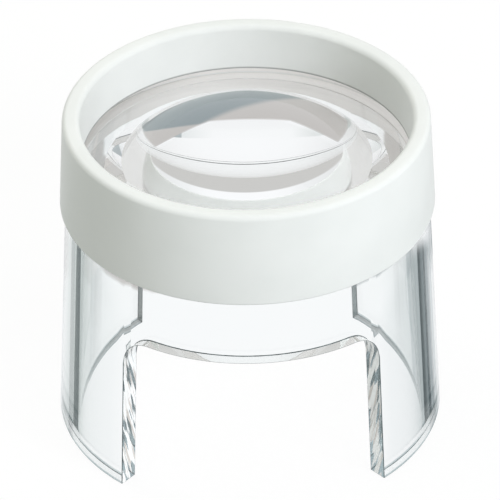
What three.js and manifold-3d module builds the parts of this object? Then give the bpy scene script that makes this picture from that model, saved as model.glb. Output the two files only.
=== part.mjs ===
// A stand magnifier: one clear lens, recessed in a white ring, on a clear foot with two curved legs.
// Millimetres, +Z up. The origin is on the lens's axis, in the plane that the foot stands on.
// The -Y side is the front: a cut-out opens there and another at the back, and the legs are at -X and +X.

import * as THREE from 'three';
import { mergeVertices } from 'three/addons/utils/BufferGeometryUtils.js';
import Module from 'manifold-3d';

const wasm = await Module();
wasm.setup();

// Clearances and facets
const fitGap = 0.3; // between two pieces that touch
const overrun = 5; // how far a cutter passes the surface that it opens
const turnSteps = 88; // facets once round the axis
const roundSteps = 4; // facets on a rounded edge

// The white ring
const totalHeight = 53.4; // from the foot's plane to the rim
const ringHeight = 15.1;
const rimOuterRadius = 28;
const ringDraft = 0.9; // the ring's outside is this much wider at its lower edge
const ringWall = 2.75; // at the rim
const rimInnerRound = 0.9;
const rimOuterRound = 0.8;
const ringLowerRound = 0.35;
const lensRecess = 8.1; // from the rim down to the lens's flange
const skirtWall = 1.6; // around the lens's edge and the foot's collar

// The lens
const flangeThickness = 3.4;
const topDomeInset = 7.8; // from the lens's edge in to where the dome starts
const topDomeBelowRim = 0.93; // how far the dome's top stays below the rim
const lowerDomeInset = 5.2;
const lowerDomeDrop = 6.46; // how far this dome hangs below the flange
const domeSteps = 9;

// The clear foot
const footWall = 3;
const footStep = 0.8; // how much less its radius is than the ring's, just under the ring
const footFlare = 2.4; // how much more its radius is at the base
const collarEdgeRound = 0.3;
const cutoutHalfAngle = THREE.MathUtils.degToRad(41.9);
const cutoutHeight = 27.5;
const cutoutCornerRound = 4.8;
const cutoutSteps = 14; // facets across a cut-out's head
const cornerSteps = 6;

// Levels and radii that follow from those
const ringBottom = totalHeight - ringHeight;
const ringBottomRadius = rimOuterRadius + ringDraft;
const boreRadius = rimOuterRadius - ringWall; // the view through the ring is 50.5 across
const flangeTop = totalHeight - lensRecess;
const flangeBottom = flangeTop - flangeThickness;
const skirtBore = ringBottomRadius - skirtWall;
const lensRadius = skirtBore - fitGap;
const topDomeRadius = lensRadius - topDomeInset;
const topDomeRise = lensRecess - topDomeBelowRim;
const lowerDomeRadius = lensRadius - lowerDomeInset;
const shoulderLevel = flangeTop + fitGap;
const collarRadius = skirtBore - fitGap;
const collarTop = flangeBottom - fitGap;
const footShoulder = ringBottom - fitGap;
const footRadiusAtRing = ringBottomRadius - footStep;
const footRadiusAtBase = footRadiusAtRing + footFlare;
const footBoreAtRing = footRadiusAtRing - footWall;
const footBoreAtBase = footRadiusAtBase - footWall;

/** Points of a quarter round from one direction to another, angles in degrees, about (r, z). */
function quarterRound(r, z, radius, fromDegrees, toDegrees, steps = roundSteps) {
  const points = [];
  for (let i = 0; i <= steps; i++) {
    const turn = THREE.MathUtils.degToRad(fromDegrees + ((toDegrees - fromDegrees) * i) / steps);
    points.push(new THREE.Vector2(r + radius * Math.cos(turn), z + radius * Math.sin(turn)));
  }
  return points;
}

/** Points of a dome's section from its edge to the axis: side is 1 for a dome that rises and -1 for one that hangs. */
function domeSection(rise, edgeRadius, edgeLevel, side) {
  const curve = (edgeRadius ** 2 + rise ** 2) / (2 * rise); // radius of the sphere
  const centre = edgeLevel + side * (rise - curve);
  const points = [];
  for (let i = 0; i < domeSteps; i++) {
    const turn = Math.asin(edgeRadius / curve) * (1 - i / domeSteps);
    points.push(new THREE.Vector2(curve * Math.sin(turn), centre + side * curve * Math.cos(turn)));
  }
  points.push(new THREE.Vector2(0, centre + side * curve));
  return points;
}

/** A closed solid of revolution about Z. The section's (radius, level) points run down its outer side. */
function turned(section) {
  const geometry = new THREE.LatheGeometry([...section].reverse(), turnSteps);
  geometry.rotateX(Math.PI / 2);
  return geometry;
}

/** A closed section repeats its first point at the end. */
function closed(points) {
  return [...points, points[0].clone()];
}

function toManifold(geometry) {
  const bare = geometry.clone();
  bare.deleteAttribute('normal');
  bare.deleteAttribute('uv');
  const merged = mergeVertices(bare);
  return new wasm.Manifold(new wasm.Mesh({
    numProp: 3,
    vertProperties: new Float32Array(merged.attributes.position.array),
    triVerts: new Uint32Array(merged.index.array),
  }));
}

function fromManifold(solid) {
  const mesh = solid.getMesh();
  const geometry = new THREE.BufferGeometry();
  geometry.setAttribute('position', new THREE.BufferAttribute(mesh.vertProperties, 3));
  geometry.setIndex(new THREE.BufferAttribute(mesh.triVerts, 1));
  geometry.computeVertexNormals();
  return geometry;
}

/** The ring: rounded rim, straight bore down to the lens, shoulder over the lens's edge, skirt round the collar. */
function ringGeometry() {
  const inner = quarterRound(boreRadius + rimInnerRound, totalHeight - rimInnerRound, rimInnerRound, 180, 90);
  const outer = quarterRound(rimOuterRadius - rimOuterRound, totalHeight - rimOuterRound, rimOuterRound, 90, 0);
  const lower = quarterRound(ringBottomRadius - ringLowerRound, ringBottom + ringLowerRound, ringLowerRound, 0, -90);
  return turned(closed([
    ...inner,
    ...outer,
    ...lower,
    new THREE.Vector2(skirtBore, ringBottom),
    new THREE.Vector2(skirtBore, shoulderLevel),
    new THREE.Vector2(boreRadius, shoulderLevel),
  ]));
}

/** The lens: a flat flange, held between the ring's shoulder and the foot's collar, with a dome on each face. */
function lensGeometry() {
  return turned([
    ...domeSection(topDomeRise, topDomeRadius, flangeTop, 1).reverse(),
    new THREE.Vector2(lensRadius, flangeTop),
    new THREE.Vector2(lensRadius, flangeBottom),
    ...domeSection(lowerDomeDrop, lowerDomeRadius, flangeBottom, -1),
  ]);
}

/** A cutter for one cut-out: an arched outline, bent round the axis so that its side faces are radial. */
function cutoutCutter(facing) {
  const innerRadius = footBoreAtRing - overrun;
  const outerRadius = (footRadiusAtBase + overrun) / Math.cos(cutoutHalfAngle); // its flat facets clear the wall too
  const halfWidth = cutoutHalfAngle * footRadiusAtBase;
  const head = cutoutHeight - cutoutCornerRound;
  const outline = new THREE.Shape();
  outline.moveTo(-halfWidth, -overrun);
  outline.lineTo(halfWidth, -overrun);
  outline.lineTo(halfWidth, head);
  outline.absarc(halfWidth - cutoutCornerRound, head, cutoutCornerRound, 0, Math.PI / 2);
  for (let i = 1; i < cutoutSteps; i++) {
    const along = 1 - (2 * i) / cutoutSteps;
    outline.lineTo((halfWidth - cutoutCornerRound) * along, cutoutHeight);
  }
  outline.absarc(cutoutCornerRound - halfWidth, head, cutoutCornerRound, Math.PI / 2, Math.PI);
  const geometry = new THREE.ExtrudeGeometry(outline, {
    depth: outerRadius - innerRadius,
    bevelEnabled: false,
    curveSegments: cornerSteps,
  });
  const position = geometry.attributes.position;
  for (let i = 0; i < position.count; i++) {
    const turn = position.getX(i) / footRadiusAtBase;
    const radius = innerRadius + position.getZ(i);
    const x = -facing * radius * Math.sin(turn);
    const y = facing * radius * Math.cos(turn);
    position.setXYZ(i, x, y, position.getY(i));
  }
  return geometry;
}

/** The foot: a conical tube with a collar inside the ring, opened at the front and the back. */
function footGeometry() {
  const collarEdge = quarterRound(
    collarRadius - collarEdgeRound, collarTop - collarEdgeRound, collarEdgeRound, 90, 0,
  );
  const tube = turned(closed([
    new THREE.Vector2(footBoreAtBase, 0),
    new THREE.Vector2(footBoreAtRing, footShoulder),
    new THREE.Vector2(footBoreAtRing, collarTop),
    ...collarEdge,
    new THREE.Vector2(collarRadius, footShoulder),
    new THREE.Vector2(footRadiusAtRing, footShoulder),
    new THREE.Vector2(footRadiusAtBase, 0),
  ]));
  const opened = [-1, 1].reduce(
    (solid, facing) => solid.subtract(toManifold(cutoutCutter(facing))),
    toManifold(tube),
  );
  return fromManifold(opened);
}

const whitePlastic = new THREE.MeshStandardMaterial({ color: 0xe9eae5, roughness: 0.5, metalness: 0 });
const clearLens = new THREE.MeshStandardMaterial({ color: 0xf1f4f6, roughness: 0.03, metalness: 0 });
const clearFoot = new THREE.MeshStandardMaterial({ color: 0xe6edef, roughness: 0.05, metalness: 0 });

function piece(name, geometry, material) {
  const mesh = new THREE.Mesh(geometry, material);
  mesh.name = name;
  return mesh;
}

const magnifier = new THREE.Group();
magnifier.add(
  piece('ring', ringGeometry(), whitePlastic),
  piece('lens', lensGeometry(), clearLens),
  piece('foot', footGeometry(), clearFoot),
);

export default magnifier;
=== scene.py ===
"""A stand magnifier: a domed lens recessed in a white ring, on a clear conical foot with two curved legs.

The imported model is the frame. The three pieces are made again here on the same sizes, fine and smooth.
Shapes are in millimetres, and become metres where a mesh is made. Finishes work in metres.
"""

import math

import bmesh
import bpy
from mathutils import Matrix, Vector


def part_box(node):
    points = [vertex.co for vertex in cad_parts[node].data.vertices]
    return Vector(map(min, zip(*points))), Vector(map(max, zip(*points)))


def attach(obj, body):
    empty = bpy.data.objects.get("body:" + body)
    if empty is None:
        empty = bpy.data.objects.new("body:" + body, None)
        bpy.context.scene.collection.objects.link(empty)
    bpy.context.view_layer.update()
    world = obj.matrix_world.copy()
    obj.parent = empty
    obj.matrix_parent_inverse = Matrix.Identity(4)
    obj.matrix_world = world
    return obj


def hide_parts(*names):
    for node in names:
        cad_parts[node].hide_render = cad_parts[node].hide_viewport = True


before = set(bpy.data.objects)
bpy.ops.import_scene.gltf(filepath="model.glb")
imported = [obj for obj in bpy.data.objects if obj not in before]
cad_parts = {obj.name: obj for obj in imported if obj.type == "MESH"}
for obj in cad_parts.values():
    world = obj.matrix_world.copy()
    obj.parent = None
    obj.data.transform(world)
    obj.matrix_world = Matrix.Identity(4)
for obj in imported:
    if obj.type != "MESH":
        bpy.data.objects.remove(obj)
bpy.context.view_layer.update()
scene = bpy.context.scene

MM = 0.001

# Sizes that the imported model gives
ring_low, ring_high = (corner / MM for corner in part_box("ring"))
lens_low, lens_high = (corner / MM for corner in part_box("lens"))
_, foot_high = (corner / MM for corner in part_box("foot"))
RIM_LEVEL = ring_high.z
RING_BOTTOM = ring_low.z
RING_BOTTOM_RADIUS = ring_high.x
LENS_RADIUS = lens_high.x
LENS_TOP = lens_high.z
LENS_BOTTOM = lens_low.z
FOOT_RADIUS_AT_BASE = foot_high.x
COLLAR_TOP = foot_high.z

# The ring
FIT_GAP = 0.3
RING_DRAFT = 0.9
RIM_OUTER_RADIUS = RING_BOTTOM_RADIUS - RING_DRAFT
BORE_RADIUS = 25.25
RIM_INNER_ROUND = 0.9
RIM_OUTER_ROUND = 0.8
RING_LOWER_ROUND = 0.35
LENS_RECESS = 8.1
SKIRT_BORE = LENS_RADIUS + FIT_GAP
FLANGE_TOP = RIM_LEVEL - LENS_RECESS
SHOULDER_LEVEL = FLANGE_TOP + FIT_GAP

# The lens
FLANGE_THICKNESS = 3.4
FLANGE_BOTTOM = FLANGE_TOP - FLANGE_THICKNESS
FLANGE_EDGE_ROUND = 0.15
TOP_DOME_RADIUS = 19.2
LOWER_DOME_RADIUS = 21.8

# The foot
FOOT_WALL = 3.0
FOOT_RADIUS_AT_RING = 28.1
FOOT_SHOULDER = RING_BOTTOM - FIT_GAP
FOOT_BORE_AT_RING = FOOT_RADIUS_AT_RING - FOOT_WALL
FOOT_BORE_AT_BASE = FOOT_RADIUS_AT_BASE - FOOT_WALL
FOOT_TAPER = (FOOT_RADIUS_AT_BASE - FOOT_RADIUS_AT_RING) / FOOT_SHOULDER
COLLAR_RADIUS = SKIRT_BORE - FIT_GAP
COLLAR_EDGE_ROUND = 0.3
CUTOUT_HALF_ANGLE = math.radians(41.9)
CUTOUT_HEIGHT = 27.5
CUTOUT_CORNER_ROUND = 4.8
CUTOUT_SIDE_TOP = CUTOUT_HEIGHT - CUTOUT_CORNER_ROUND
CLEAR_HEAD = 0.4  # how far down its corners a cut-out's head stays clear
FOOT_EDGE_ROUND = 0.16

# Facets
TURN_STEPS = 240
DOME_STEPS = 64
ROUND_STEPS = 8
SMALL_ROUND_STEPS = 3
WALL_STEPS = 8
LEG_STEPS = 10
LEG_COLUMNS = 36
CORNER_COLUMNS = 12
HEAD_COLUMNS = 36
SHARP_ANGLE = math.radians(30.0)
EASED_ANGLE = math.radians(40.0)
TOLERANCE = 0.01  # less than any size of the shapes

# Places in the foot's list of finishes, after its clear wall, and in the lens's
CUT_FACE, SEAT, SAWN_FACE, STANDING_FACE, EASED_EDGE = range(1, 6)
LENS_SEAT = 1

# The camera
CAMERA_ELEVATION = math.radians(35.26)
CAMERA_AZIMUTH = math.radians(-0.73)
CAMERA_ROLL = math.radians(-0.78)
CAMERA_DISTANCE = 504.0
CAMERA_TARGET = Vector((0.28, 0.0, 27.94))
IMAGE_SIDE = 500
FOCAL_PIXELS = 3229.25
SENSOR_WIDTH = 36.0

# Clear plastic and white light
ACRYLIC_IOR = 1.49
WHITE = (1.0, 1.0, 1.0)

# The floor
FLOOR_SIDE = 6000.0
FLOOR_DROP = 0.05


# Shader maths


class Value:
    """A number that changes over a surface. Sums, products and powers of it become Math nodes."""

    def __init__(self, finish, socket):
        self.finish = finish
        self.socket = socket

    def math(self, operation, first, second=0.0):
        return self.finish.node("Math", {"operation": operation}, {0: first, 1: second}, "Value")

    def __add__(self, other):
        return self.math("ADD", self, other)

    __radd__ = __add__

    def __sub__(self, other):
        return self.math("SUBTRACT", self, other)

    def __rsub__(self, other):
        return self.math("SUBTRACT", other, self)

    def __mul__(self, other):
        return self.math("MULTIPLY", self, other)

    __rmul__ = __mul__

    def __pow__(self, other):
        return self.math("POWER", self, other)

    def size(self):
        """Without its sign."""
        return self.math("ABSOLUTE", self)

    def at_least(self, other):
        return self.math("MAXIMUM", self, other)

    def at_most(self, other):
        return self.math("MINIMUM", self, other)

    def ramp(self, low, high, smooth=True):
        """0 below low, 1 above high."""
        kind = "SMOOTHSTEP" if smooth else "LINEAR"
        sockets = {"Value": self, "From Min": low, "From Max": high}
        return self.finish.node("MapRange", {"interpolation_type": kind}, sockets, "Result")


def opaque(colour):
    """What a colour socket takes, from a colour or from a value."""
    return colour if isinstance(colour, Value) else (*colour, 1.0)


class Finish:
    """A node tree: of a material, or of the world."""

    def __init__(self, owner):
        owner.use_nodes = True
        self.tree = owner.node_tree
        self.tree.nodes.clear()

    def node(self, kind, settings=None, sockets=None, output=None):
        """Makes and sets a node and fills its sockets with values or links. Gives an output, or the node."""
        made = self.tree.nodes.new("ShaderNode" + kind)
        for name, setting in (settings or {}).items():
            setattr(made, name, setting)
        for name, content in (sockets or {}).items():
            if isinstance(content, Value):
                self.tree.links.new(content.socket, made.inputs[name])
            else:
                made.inputs[name].default_value = content
        return made if output is None else Value(self, made.outputs[output])

    def place(self):
        """The point on the surface, in metres in the object's own frame."""
        return self.node("TexCoord", output="Object")

    def parts(self, vector):
        split = self.node("SeparateXYZ", sockets={"Vector": vector})
        return [Value(self, split.outputs[axis]) for axis in "XYZ"]

    def noise(self, place, per_metre, detail=2.0):
        sockets = {"Vector": place, "Scale": per_metre, "Detail": detail}
        return self.node("TexNoise", sockets=sockets, output="Fac")

    def stretched(self, place, scale):
        return self.node("VectorMath", {"operation": "MULTIPLY"}, {0: place, 1: scale}, "Vector")

    def mixed(self, share, first, second):
        """A colour between two colours. Their sockets share names with others, so they go by number."""
        sockets = {0: share, 6: opaque(first), 7: opaque(second)}
        return self.node("Mix", {"data_type": "RGBA"}, sockets, 2)

    def bump(self, height, distance):
        return self.node("Bump", sockets={"Height": height, "Distance": distance}, output="Normal")

    def ray(self, kind):
        """1 on one kind of rays."""
        return self.node("LightPath", output=kind)

    def gloss_and_glass(self):
        """1 on the rays that leave a glossy or a clear surface."""
        return (self.ray("Is Transmission Ray") + self.ray("Is Glossy Ray")).at_most(1.0)

    def solid(self, sockets):
        return self.node("BsdfPrincipled", sockets=sockets, output="BSDF")

    def acrylic(self, sockets):
        return self.solid({"IOR": ACRYLIC_IOR, "Transmission Weight": 1.0, **sockets})

    def see_through(self, colour):
        return self.node("BsdfTransparent", sockets={"Color": opaque(colour)}, output="BSDF")

    def light(self, colour):
        sockets = {"Color": opaque(colour), "Strength": 1.0}
        return self.node("Emission", sockets=sockets, output="Emission")

    def blend(self, share, first, second):
        """A shader between two shaders."""
        return self.node("MixShader", sockets={0: share, 1: first, 2: second}, output="Shader")

    def output(self, shader, kind="OutputMaterial"):
        self.node(kind, sockets={"Surface": shader})

    def clear_surface(self, sockets):
        """Clear plastic. The lamps' light also goes straight through it, to what is inside and behind."""
        way_through = self.see_through((0.95, 0.96, 0.96))
        self.output(self.blend(self.ray("Is Shadow Ray"), self.acrylic(sockets), way_through))


def new_finish(name):
    """A new material, its node tree and the point on the surface."""
    material = bpy.data.materials.new(name)
    finish = Finish(material)
    return material, finish, finish.place()


def from_axis(across, depth):
    """How far a point is from the lens's axis."""
    return (across * across + depth * depth) ** 0.5


# Finishes


def white_plastic():
    """Moulded white plastic: satin, with the faint waviness of the mould and a little dulling from handling.
    Painted shade darkens the corner over the lens as a dark line."""
    material, finish, place = new_finish("white_plastic")
    across, depth, up = finish.parts(place)
    cloud = finish.noise(place, 90.0, 3.0)
    grain = finish.noise(place, 2600.0)
    colour = finish.mixed(cloud.ramp(0.3, 0.7), (0.790, 0.803, 0.790), (0.822, 0.833, 0.820))
    # Painted shade: a dark line where the bore meets the shoulder over the lens.
    shade_line_radius = BORE_RADIUS + 0.25
    shade_line_height = 0.4
    in_bore = 1.0 - from_axis(across, depth).ramp(shade_line_radius * MM, (shade_line_radius + shade_line_height) * MM)
    corner_shade = in_bore * (1.0 - (up - SHOULDER_LEVEL * MM).ramp(0.05 * MM, shade_line_height * MM))
    height = grain * 0.35 + finish.noise(place, 420.0) * 0.65
    finish.output(finish.solid({
        "Base Color": finish.mixed(corner_shade * 0.8, colour, (0.200, 0.205, 0.200)),
        "Roughness": 0.34 + cloud * 0.16 + grain * 0.06,
        "IOR": 1.5,
        "Normal": finish.bump(height, 0.02 * MM),
    }))
    return material


def clear_lens():
    """Polished clear acrylic, with hair scratches on the dome that only the light shows."""
    material, finish, place = new_finish("clear_lens")
    scratch = finish.noise(finish.stretched(place, (900.0, 60.0, 200.0)), 1.0, 3.0)
    wipe = finish.noise(place, 60.0)
    finish.clear_surface({
        "Base Color": finish.mixed(wipe, (0.985, 0.992, 0.990), (0.995, 0.998, 0.997)),
        "Roughness": wipe.ramp(0.5, 0.9) * 0.012,
        "Normal": finish.bump(scratch, 0.0006 * MM),
    })
    return material


def clear_foot():
    """Clear acrylic tube, with faint draw lines along the wall and a line of painted shade just over the
    page.
    """
    material, finish, place = new_finish("clear_foot")
    _, _, up = finish.parts(place)
    draw = finish.noise(finish.stretched(place, (240.0, 240.0, 20.0)), 1.0, 3.0)
    wipe = finish.noise(place, 55.0)
    # Painted shade: the clear wall is tinted dark just over the page.
    painted_base_shade = (1.0 - up.ramp(0.30 * MM, 0.65 * MM)) * (0.5 + draw)
    wall = finish.mixed(wipe, (0.975, 0.988, 0.985), (0.990, 0.996, 0.994))
    finish.clear_surface({
        "Base Color": finish.mixed(painted_base_shade.at_most(1.0), wall, (0.260, 0.340, 0.355)),
        "Roughness": wipe.ramp(0.45, 0.9) * 0.002,
        "Normal": finish.bump(draw, 0.002 * MM),
    })
    return material


def cut_face():
    """The front cut-out's faces: frosted by the cutter, with steep streaks where it left them clear. The
    streaks are tinted dark, a painted reflection of dark things seen through them. The frosted part's faint
    glow stands in for the light that a clear wall carries to its edges."""
    material, finish, place = new_finish("cut_face")
    across, depth, up = finish.parts(place)
    into_wall = from_axis(across, depth) + up * FOOT_TAPER
    streak_slant = 0.27
    sweep = finish.node("CombineXYZ", sockets={
        "X": (into_wall - up * streak_slant) * 1350.0,
        "Y": up * 170.0,
        "Z": across * 60.0,
    }, output="Vector")
    inner_edge = FOOT_BORE_AT_BASE * MM
    near_edge = 2.0 - up.ramp(1.0 * MM, 5.0 * MM) - into_wall.ramp(inner_edge, inner_edge + 0.6 * MM)
    # The streaks' dark colour is painted: it stands in for dark things seen through them.
    streak_painted_dark = (finish.noise(sweep, 1.0, 1.5) + near_edge * 0.05).ramp(0.485, 0.565)
    rough = finish.noise(finish.stretched(sweep, (2.2, 0.9, 3.0)), 1.0, 1.0)
    thin = rough.ramp(0.56, 0.63)
    frost = finish.mixed(rough.ramp(0.45, 0.60), (0.960, 0.970, 0.975), (0.800, 0.780, 0.765))
    clear = finish.acrylic({
        "Base Color": finish.mixed(streak_painted_dark, (0.985, 0.993, 0.993), (0.120, 0.190, 0.215)),
        "Roughness": 0.01 + thin * 0.03,
    })
    dull = finish.solid({
        "Base Color": finish.mixed(thin, frost, (0.560, 0.510, 0.470)),
        "Roughness": 0.30 + thin * 0.1,
        "Emission Color": opaque((0.98, 0.99, 1.0)),
        "Emission Strength": 0.15,
        "Normal": finish.bump(streak_painted_dark + thin * 0.3, 0.02 * MM),
    })
    finish.output(finish.blend(0.90 - streak_painted_dark * 0.80, clear, dull))
    return material


def sawn_face():
    """The back cut-out's faces: left as sawn, with painted shade that makes them dim and grey-green, paler in
    the corners.
    """
    material, finish, place = new_finish("sawn_face")
    _, _, up = finish.parts(place)
    tooth = finish.noise(finish.stretched(place, (300.0, 300.0, 2400.0)), 1.0)
    corner = up.ramp(17.0 * MM, 26.0 * MM)
    # Painted shade: the faces' dim grey-green, and the clear share's dark tint low down.
    painted_dim_tone = finish.mixed(tooth.ramp(0.3, 0.7), (0.065, 0.108, 0.113), (0.140, 0.192, 0.196))
    clear = finish.acrylic({
        "Base Color": finish.mixed(corner, (0.300, 0.420, 0.440), (0.950, 0.965, 0.965)),
        "Roughness": 0.12 + tooth * 0.2,
        "Normal": finish.bump(tooth, 0.01 * MM),
    })
    dull = finish.solid({
        "Base Color": finish.mixed(corner, painted_dim_tone, (0.820, 0.840, 0.840)),
        "Roughness": 0.45 + tooth * 0.2,
    })
    finish.output(finish.blend(0.70 + tooth * 0.25 - corner * 0.45, clear, dull))
    return material


def sharp_edge():
    """The foot's eased edges, painted dark as painted shade for the dark lines that narrow edges show. The
    collar's are pale.
    """
    material, finish, place = new_finish("sharp_edge")
    _, _, up = finish.parts(place)
    nick = finish.noise(place, 700.0)
    on_collar = up.ramp(36.0 * MM, 37.0 * MM)
    # Painted shade: the eased edges are coloured dark.
    painted_dark_line = finish.mixed(nick.ramp(0.35, 0.65), (0.030, 0.055, 0.060), (0.150, 0.185, 0.190))
    finish.output(finish.solid({
        "Base Color": finish.mixed(on_collar, painted_dark_line, (0.800, 0.780, 0.760)),
        "Roughness": 0.25 + nick * 0.2,
    }))
    return material


def standing_face():
    """The face that the foot stands on. The page shows through it at the front. Towards the back it is ground
    dull, with painted shade, grey and darkening to a dark line near the outer edge."""
    material, finish, place = new_finish("standing_face")
    across, depth, _ = finish.parts(place)
    grind = finish.noise(place, 900.0)
    back = depth.ramp(-13.0 * MM, -2.0 * MM)
    outer = from_axis(across, depth).ramp(28.6 * MM, 29.1 * MM)
    fresh = finish.mixed(grind, (0.900, 0.905, 0.910), (0.940, 0.945, 0.950))
    # Painted shade: grey towards the back, dark near the outer edge.
    painted_back_shade = finish.mixed(outer, (0.560, 0.590, 0.610), (0.090, 0.125, 0.130))
    page = finish.see_through((0.97, 0.98, 0.98))
    ground = finish.solid({
        "Base Color": finish.mixed(back, fresh, painted_back_shade),
        "Roughness": 0.50 + grind * 0.2,
    })
    finish.output(finish.blend(0.12 + grind * 0.2 + back * 0.50, page, ground))
    return material


def bonded_seat():
    """Where the lens's edge and the foot's collar are bonded into the ring: ground dull, with a warm film.
    Its glow stands in for the light that the lens gathers on it, which is less on the left."""
    material, finish, place = new_finish("bonded_seat")
    across, _, _ = finish.parts(place)
    cloud = finish.noise(place, 240.0, 3.0)
    gathered = across.ramp(-26.0 * MM, -4.0 * MM)
    finish.output(finish.solid({
        "Base Color": finish.mixed(cloud, (0.300, 0.290, 0.280), (0.340, 0.330, 0.320)),
        "Roughness": 0.55 + cloud * 0.25,
        "Emission Color": finish.mixed(gathered, (0.620, 0.610, 0.590), (1.000, 0.980, 0.960)),
        "Emission Strength": 0.50,
        "Normal": finish.bump(finish.noise(place, 1500.0), 0.02 * MM),
    }))
    return material


# Shapes


def rounded_corner(radius, level, size, from_degrees, to_degrees, steps=ROUND_STEPS):
    """Points of a section's corner at (radius, level), rounded by size, from one direction to another."""
    middle = math.radians((from_degrees + to_degrees) / 2.0)
    centre_radius = radius - math.copysign(size, math.cos(middle))
    centre_level = level - math.copysign(size, math.sin(middle))
    points = []
    for i in range(steps + 1):
        turn = math.radians(from_degrees + (to_degrees - from_degrees) * i / steps)
        points.append((centre_radius + size * math.cos(turn), centre_level + size * math.sin(turn)))
    return points


def dome_section(edge_radius, edge_level, apex_level):
    """Points of a spherical dome's section, from its edge to its apex on the axis."""
    rise = abs(apex_level - edge_level)
    side = math.copysign(1.0, apex_level - edge_level)
    curve = (edge_radius ** 2 + rise ** 2) / (2.0 * rise)
    centre = apex_level - side * curve
    points = []
    for i in range(DOME_STEPS):
        turn = math.asin(edge_radius / curve) * (1.0 - i / DOME_STEPS)
        points.append((curve * math.sin(turn), centre + side * curve * math.cos(turn)))
    points.append((0.0, apex_level))
    return points


def to_object(name, shape, materials):
    """A mesh object from a bmesh in millimetres, smooth but for its sharp edges."""
    bmesh.ops.scale(shape, vec=(MM, MM, MM), verts=shape.verts)
    bmesh.ops.recalc_face_normals(shape, faces=shape.faces)
    mesh = bpy.data.meshes.new(name)
    shape.to_mesh(mesh)
    shape.free()
    for polygon in mesh.polygons:
        polygon.use_smooth = True
    mesh.set_sharp_from_angle(angle=SHARP_ANGLE)
    for material in materials:
        mesh.materials.append(material)
    made = bpy.data.objects.new(name, mesh)
    scene.collection.objects.link(made)
    return made


def point_around(shape, turn, radius, level):
    """A new point, turn radians round the axis from +X."""
    return shape.verts.new((radius * math.cos(turn), radius * math.sin(turn), level))


def turned(section, is_closed):
    """Turns a section of (radius, level) points once round the axis."""
    shape = bmesh.new()
    rings = []
    for radius, level in section:
        count = 1 if radius == 0.0 else TURN_STEPS
        rings.append([point_around(shape, math.tau * i / TURN_STEPS, radius, level) for i in range(count)])
    next_rings = rings[1:] + rings[:1] if is_closed else rings[1:]
    for first, second in zip(rings, next_rings):
        for i in range(TURN_STEPS):
            j = (i + 1) % TURN_STEPS
            places = ((first, i), (first, j), (second, j), (second, i))
            corners = [points[k % len(points)] for points, k in places]
            shape.faces.new(list(dict.fromkeys(corners)))
    return shape


def ring_shape():
    """Rounded rim, straight bore, shoulder over the lens's edge, and skirt round the foot's collar."""
    section = rounded_corner(BORE_RADIUS, RIM_LEVEL, RIM_INNER_ROUND, 180, 90)
    section += rounded_corner(RIM_OUTER_RADIUS, RIM_LEVEL, RIM_OUTER_ROUND, 90, 0)
    section += rounded_corner(RING_BOTTOM_RADIUS, RING_BOTTOM, RING_LOWER_ROUND, 0, -90)
    section += [(SKIRT_BORE, RING_BOTTOM), (SKIRT_BORE, SHOULDER_LEVEL), (BORE_RADIUS, SHOULDER_LEVEL)]
    return turned(section, True)


def lens_shape():
    """A flat flange with a dome on each face. The flange's edge is bonded into the ring."""
    section = dome_section(TOP_DOME_RADIUS, FLANGE_TOP, LENS_TOP)[::-1]
    section += rounded_corner(LENS_RADIUS, FLANGE_TOP, FLANGE_EDGE_ROUND, 90, 0, SMALL_ROUND_STEPS)
    section += rounded_corner(LENS_RADIUS, FLANGE_BOTTOM, FLANGE_EDGE_ROUND, 0, -90, SMALL_ROUND_STEPS)
    section += dome_section(LOWER_DOME_RADIUS, FLANGE_BOTTOM, LENS_BOTTOM)
    shape = turned(section, False)
    flat_radius = LENS_RADIUS - FLANGE_EDGE_ROUND
    for face in shape.faces:
        if min(math.hypot(corner.co.x, corner.co.y) for corner in face.verts) > flat_radius + TOLERANCE:
            face.material_index = LENS_SEAT
    return shape


def cutout_level(turn):
    """The level of a cut-out's head, turn radians from its middle. The corners are rounded on the wall's
    outside."""
    half_width = CUTOUT_HALF_ANGLE * FOOT_RADIUS_AT_BASE
    along = abs(turn) * FOOT_RADIUS_AT_BASE - (half_width - CUTOUT_CORNER_ROUND)
    if along <= 0.0:
        return CUTOUT_HEIGHT
    return CUTOUT_SIDE_TOP + math.sqrt(max(CUTOUT_CORNER_ROUND ** 2 - along ** 2, 0.0))


def foot_columns():
    """Where the foot has columns of points. Each half of it is a leg, then a cut-out. A column has its turn
    round the axis from +X and, over a cut-out, its turn from that one's middle."""
    corner = CUTOUT_CORNER_ROUND / FOOT_RADIUS_AT_BASE
    corner_turns = [math.pi / 2.0 * i / CORNER_COLUMNS for i in range(CORNER_COLUMNS)]
    leg_half = math.pi / 2.0 - CUTOUT_HALF_ANGLE
    head_half = CUTOUT_HALF_ANGLE - corner
    leg = [-leg_half + 2.0 * leg_half * i / LEG_COLUMNS for i in range(LEG_COLUMNS)]
    gap = [-CUTOUT_HALF_ANGLE + corner * (1.0 - math.cos(turn)) for turn in corner_turns]
    gap += [-head_half + 2.0 * head_half * i / HEAD_COLUMNS for i in range(HEAD_COLUMNS)]
    gap += [head_half + corner * math.sin(turn) for turn in corner_turns]
    columns = []
    for half_turn in (0.0, math.pi):
        columns += [(half_turn + turn, None) for turn in leg]
        columns += [(half_turn + math.pi / 2.0 + turn, turn) for turn in gap]
    return columns


def foot_outside(level):
    return FOOT_RADIUS_AT_BASE - FOOT_TAPER * level


def foot_inside(level):
    return foot_outside(level) - FOOT_WALL


def foot_section(low):
    """The wall's section over a level: up its inner side, over the collar and down its outer side."""
    levels = [low + (FOOT_SHOULDER - low) * i / WALL_STEPS for i in range(WALL_STEPS + 1)]
    section = [(foot_inside(level), level) for level in levels[:-1]]
    section += [(FOOT_BORE_AT_RING, FOOT_SHOULDER), (FOOT_BORE_AT_RING, COLLAR_TOP)]
    section += rounded_corner(COLLAR_RADIUS, COLLAR_TOP, COLLAR_EDGE_ROUND, 90, 0, SMALL_ROUND_STEPS)
    section += [(COLLAR_RADIUS, FOOT_SHOULDER)]
    section += [(foot_outside(level), level) for level in levels[::-1]]
    return section


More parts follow.
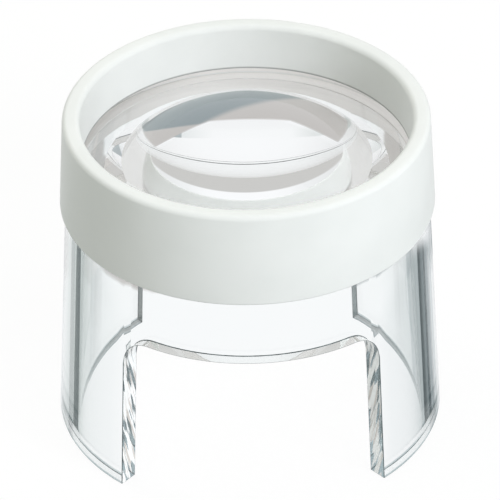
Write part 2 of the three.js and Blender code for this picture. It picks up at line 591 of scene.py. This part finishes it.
def add_upper_wall(shape, upper, over_gap):
    """The wall over the cut-outs, its collar and the cut-outs' heads, from the points of each column."""
    points = len(upper[0])
    seat_faces = range(WALL_STEPS + 1, points - WALL_STEPS - 1)
    for first, second, is_gap in zip(upper, upper[1:] + upper[:1], over_gap):
        for k in range(points - 1):
            face = shape.faces.new((first[k], second[k], second[k + 1], first[k + 1]))
            if k in seat_faces:
                face.material_index = SEAT
        if is_gap:
            face = shape.faces.new((first[-1], second[-1], second[0], first[0]))
            if face.calc_center_median().z < CUTOUT_HEIGHT - CLEAR_HEAD:
                face.material_index = CUT_FACE


def add_leg(shape, columns):
    """One leg, from its columns' turns and their inner and outer points at the top of the cut-outs' sides."""
    levels = [CUTOUT_SIDE_TOP * (1.0 - k / LEG_STEPS) for k in range(1, LEG_STEPS + 1)]
    sides = []
    for turn, inner_top, outer_top in columns:
        down = [inner_top] + [point_around(shape, turn, foot_inside(level), level) for level in levels]
        up = [point_around(shape, turn, foot_outside(level), level) for level in levels[::-1]] + [outer_top]
        sides.append((down, up))
    for (down, up), (next_down, next_up) in zip(sides, sides[1:]):
        loop, next_loop = down + up, next_down + next_up
        for k in range(len(loop) - 1):
            shape.faces.new((loop[k], loop[k + 1], next_loop[k + 1], next_loop[k]))
    for down, up in (sides[0], sides[-1]):
        for k in range(LEG_STEPS):
            face = shape.faces.new((down[k], down[k + 1], up[LEG_STEPS - 1 - k], up[LEG_STEPS - k]))
            face.material_index = CUT_FACE


def foot_shape():
    """The conical tube with its collar, opened at the front and the back."""
    shape = bmesh.new()
    columns = foot_columns()
    upper = []
    for turn, gap_turn in columns:
        low = CUTOUT_SIDE_TOP if gap_turn is None else cutout_level(gap_turn)
        upper.append([point_around(shape, turn, radius, level) for radius, level in foot_section(low)])
    add_upper_wall(shape, upper, [gap_turn is not None for _, gap_turn in columns])
    for start in (0, len(columns) // 2):
        span = range(start, start + LEG_COLUMNS + 1)
        add_leg(shape, [(columns[i][0], upper[i][0], upper[i][-1]) for i in span])
    for face in shape.faces:
        middle = face.calc_center_median()
        if face.material_index == CUT_FACE and middle.y > 0.0:
            face.material_index = SAWN_FACE
        if middle.z < TOLERANCE:
            face.material_index = STANDING_FACE
    return shape


# The pieces

seat = bonded_seat()
ring = to_object("ring_moulding", ring_shape(), [white_plastic()])
lens = to_object("domed_lens", lens_shape(), [clear_lens(), seat])
foot_finishes = [clear_foot(), cut_face(), seat, sawn_face(), standing_face(), sharp_edge()]
foot = to_object("leg_tube", foot_shape(), foot_finishes)
for piece, node, slot in (
    (ring, "ring", "white_plastic"),
    (lens, "lens", "clear_lens"),
    (foot, "foot", "clear_foot"),
):
    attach(piece, "root")
    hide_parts(node)

edges = foot.modifiers.new("eased_edges", "BEVEL")
edges.width = FOOT_EDGE_ROUND * MM
edges.segments = 2
edges.limit_method = "ANGLE"
edges.angle_limit = EASED_ANGLE
edges.harden_normals = True
edges.material = EASED_EDGE


# Floor, world and light


def floor_finish():
    """White paper, with a soft share of the shadow. Gloss and clear parts look past it to the studio. They
    still see a painted shadow behind the foot: warm on the left, deep on the right, with a notch at the back."""
    material, finish, place = new_finish("floor_paper")
    across, depth, _ = finish.parts(place)
    aside = across.size()
    # The painted shadow: a patch of set colours that only gloss and clear parts see.
    near_side = 26.6 * MM + aside * 0.15 + (aside - 17.0 * MM).at_least(0.0) * 0.30
    far_side = 47.0 * MM + (aside - 6.0 * MM).at_least(0.0) * 0.9
    past_near_side = (depth - near_side).ramp(-0.8 * MM, 0.8 * MM)
    past_far_side = (depth - far_side).ramp(-0.6 * MM, 1.0 * MM)
    past_left = across.ramp(-35.0 * MM, -31.0 * MM)
    past_ends = aside.ramp(36.0 * MM, 42.0 * MM)
    shadow = past_near_side * (1.0 - past_far_side) * past_left * (1.0 - past_ends)
    right_of_slant = (across - (depth - 30.0 * MM) * 0.78).ramp(-8.5 * MM, -5.5 * MM)
    deep = right_of_slant * (1.0 - depth.ramp(47.5 * MM, 49.5 * MM))
    shade = finish.mixed(deep, (0.520, 0.500, 0.485), (0.235, 0.285, 0.305))

    to_camera = finish.ray("Is Camera Ray")
    paper_colour = finish.mixed(to_camera, (0.360, 0.370, 0.365), (0.950, 0.950, 0.950))
    paper = finish.node("BsdfDiffuse", sockets={"Color": paper_colour}, output="BSDF")
    behind = finish.blend(shadow, finish.see_through(WHITE), finish.light(shade))
    below = finish.blend(finish.gloss_and_glass(), paper, behind)
    finish.output(finish.blend(to_camera * 0.9, below, finish.light(WHITE)))
    return material


shape = bmesh.new()
bmesh.ops.create_grid(shape, x_segments=1, y_segments=1, size=FLOOR_SIDE / 2.0)
floor = to_object("floor", shape, [floor_finish()])
floor.location.z = -FLOOR_DROP * MM


def upright_bands(finish, aside, colour, far_colour, fade, bands):
    """A corner of the backdrop. It fades evenly to its far colour between two places on the way to the side,
    then takes on each band's colour between two more."""
    side = finish.mixed(aside.ramp(*fade, smooth=False), colour, far_colour)
    for start, end, band_colour in bands:
        side = finish.mixed(aside.ramp(start, end), side, band_colour)
    return side


def studio_room(finish, across, depth, up):
    """What gloss and clear parts see in a direction: a white backdrop, a little dimmer to the sides, with
    dark and grey upright bands low at its two corners, a grey ceiling that comes lower at the sides, and a
    pale table. The direction's parts run from -1 to 1."""
    white = (0.965, 0.978, 0.990)
    left = upright_bands(finish, 0.0 - across, white, (0.600, 0.650, 0.640), (0.20, 0.48), (
        (0.486, 0.494, (0.005, 0.025, 0.030)),
        (0.572, 0.582, (0.560, 0.610, 0.600)),
    ))
    right = upright_bands(finish, across, white, (0.830, 0.860, 0.870), (0.16, 0.32), (
        (0.330, 0.340, (0.400, 0.450, 0.470)),
        (0.410, 0.420, (0.075, 0.105, 0.115)),
        (0.505, 0.515, (0.010, 0.025, 0.030)),
        (0.560, 0.570, (0.470, 0.520, 0.530)),
    ))
    corners = finish.mixed(across.ramp(-0.02, 0.02), left, right)
    aside = (across - 0.04).size()
    low_down = 1.0 - (up - aside * 0.066).ramp(-0.5795, -0.5745)
    open_side = finish.mixed(aside.ramp(0.20, 0.75), (0.975, 0.985, 1.000), (0.840, 0.855, 0.865))
    behind = finish.mixed(low_down, open_side, corners)
    backdrop = finish.mixed(depth.ramp(-0.05, 0.05), (0.800, 0.795, 0.790), behind)
    ceiling = finish.mixed(up.ramp(0.70, 0.95), (0.585, 0.580, 0.566), (0.760, 0.760, 0.755))
    over_ceiling_edge = (up - depth.size() * 0.63).ramp(-0.010, 0.010)
    walls = finish.mixed(over_ceiling_edge, backdrop, ceiling)
    return finish.mixed(up.ramp(-0.660, -0.610), (0.935, 0.945, 0.960), walls)


def studio_world():
    """White for the camera. Dull surfaces are lit by a soft glow, brightest partway up and dimmer overhead.
    Gloss and clear parts see the room."""
    world = bpy.data.worlds.new("studio")
    scene.world = world
    finish = Finish(world)
    across, depth, up = finish.parts(finish.node("TexCoord", output="Generated"))
    glow = finish.mixed(up.ramp(0.0, 0.5), (0.050, 0.080, 0.066), (1.120, 1.150, 1.050))
    glow = finish.mixed(up.ramp(0.5, 0.9), glow, (0.300, 0.295, 0.285))
    light = finish.mixed(finish.gloss_and_glass(), glow, studio_room(finish, across, depth, up))
    colour = finish.mixed(finish.ray("Is Camera Ray"), light, WHITE)
    background = finish.node("Background", sockets={"Color": colour, "Strength": 1.0}, output="Background")
    finish.output(background, "OutputWorld")


studio_world()


def soft_lamp(name, place, side, watts, colour=WHITE):
    """A square lamp that faces the magnifier, hidden from gloss and clear parts. Its place and side are in
    metres."""
    lamp = bpy.data.lights.new(name, "AREA")
    lamp.color = colour
    lamp.size = side
    lamp.energy = watts
    stand = bpy.data.objects.new(name, lamp)
    stand.visible_glossy = False
    stand.visible_transmission = False
    scene.collection.objects.link(stand)
    aim = CAMERA_TARGET * MM - Vector(place)
    stand.matrix_world = Matrix.Translation(place) @ aim.to_track_quat("-Z", "Y").to_matrix().to_4x4()


soft_lamp("key", place=(0.47, -0.52, 0.44), side=0.35, watts=4.3, colour=(0.98, 1.0, 1.07))
soft_lamp("back_fill", place=(-0.38, 0.42, 0.62), side=0.45, watts=1.7)


# Camera


def add_camera():
    """The photograph's view: from the front and above, rolled a little."""
    toward = Vector((
        math.sin(CAMERA_AZIMUTH) * math.cos(CAMERA_ELEVATION),
        -math.cos(CAMERA_AZIMUTH) * math.cos(CAMERA_ELEVATION),
        math.sin(CAMERA_ELEVATION),
    ))
    right = (-toward).cross(Vector((0.0, 0.0, 1.0))).normalized()
    up = right.cross(-toward)
    rolled_right = math.cos(CAMERA_ROLL) * right + math.sin(CAMERA_ROLL) * up
    rolled_up = math.cos(CAMERA_ROLL) * up - math.sin(CAMERA_ROLL) * right
    axes = Matrix((rolled_right, rolled_up, toward)).transposed().to_4x4()
    camera = bpy.data.cameras.new("camera")
    camera.sensor_width = SENSOR_WIDTH
    camera.lens = FOCAL_PIXELS / IMAGE_SIDE * SENSOR_WIDTH
    camera.clip_start = 0.01
    camera.clip_end = 20.0
    holder = bpy.data.objects.new("camera", camera)
    scene.collection.objects.link(holder)
    holder.matrix_world = Matrix.Translation((CAMERA_TARGET + CAMERA_DISTANCE * toward) * MM) @ axes
    scene.camera = holder


add_camera()
scene.cycles.max_bounces = 32
scene.cycles.transmission_bounces = 32
scene.cycles.glossy_bounces = 16
scene.view_settings.view_transform = "Standard"
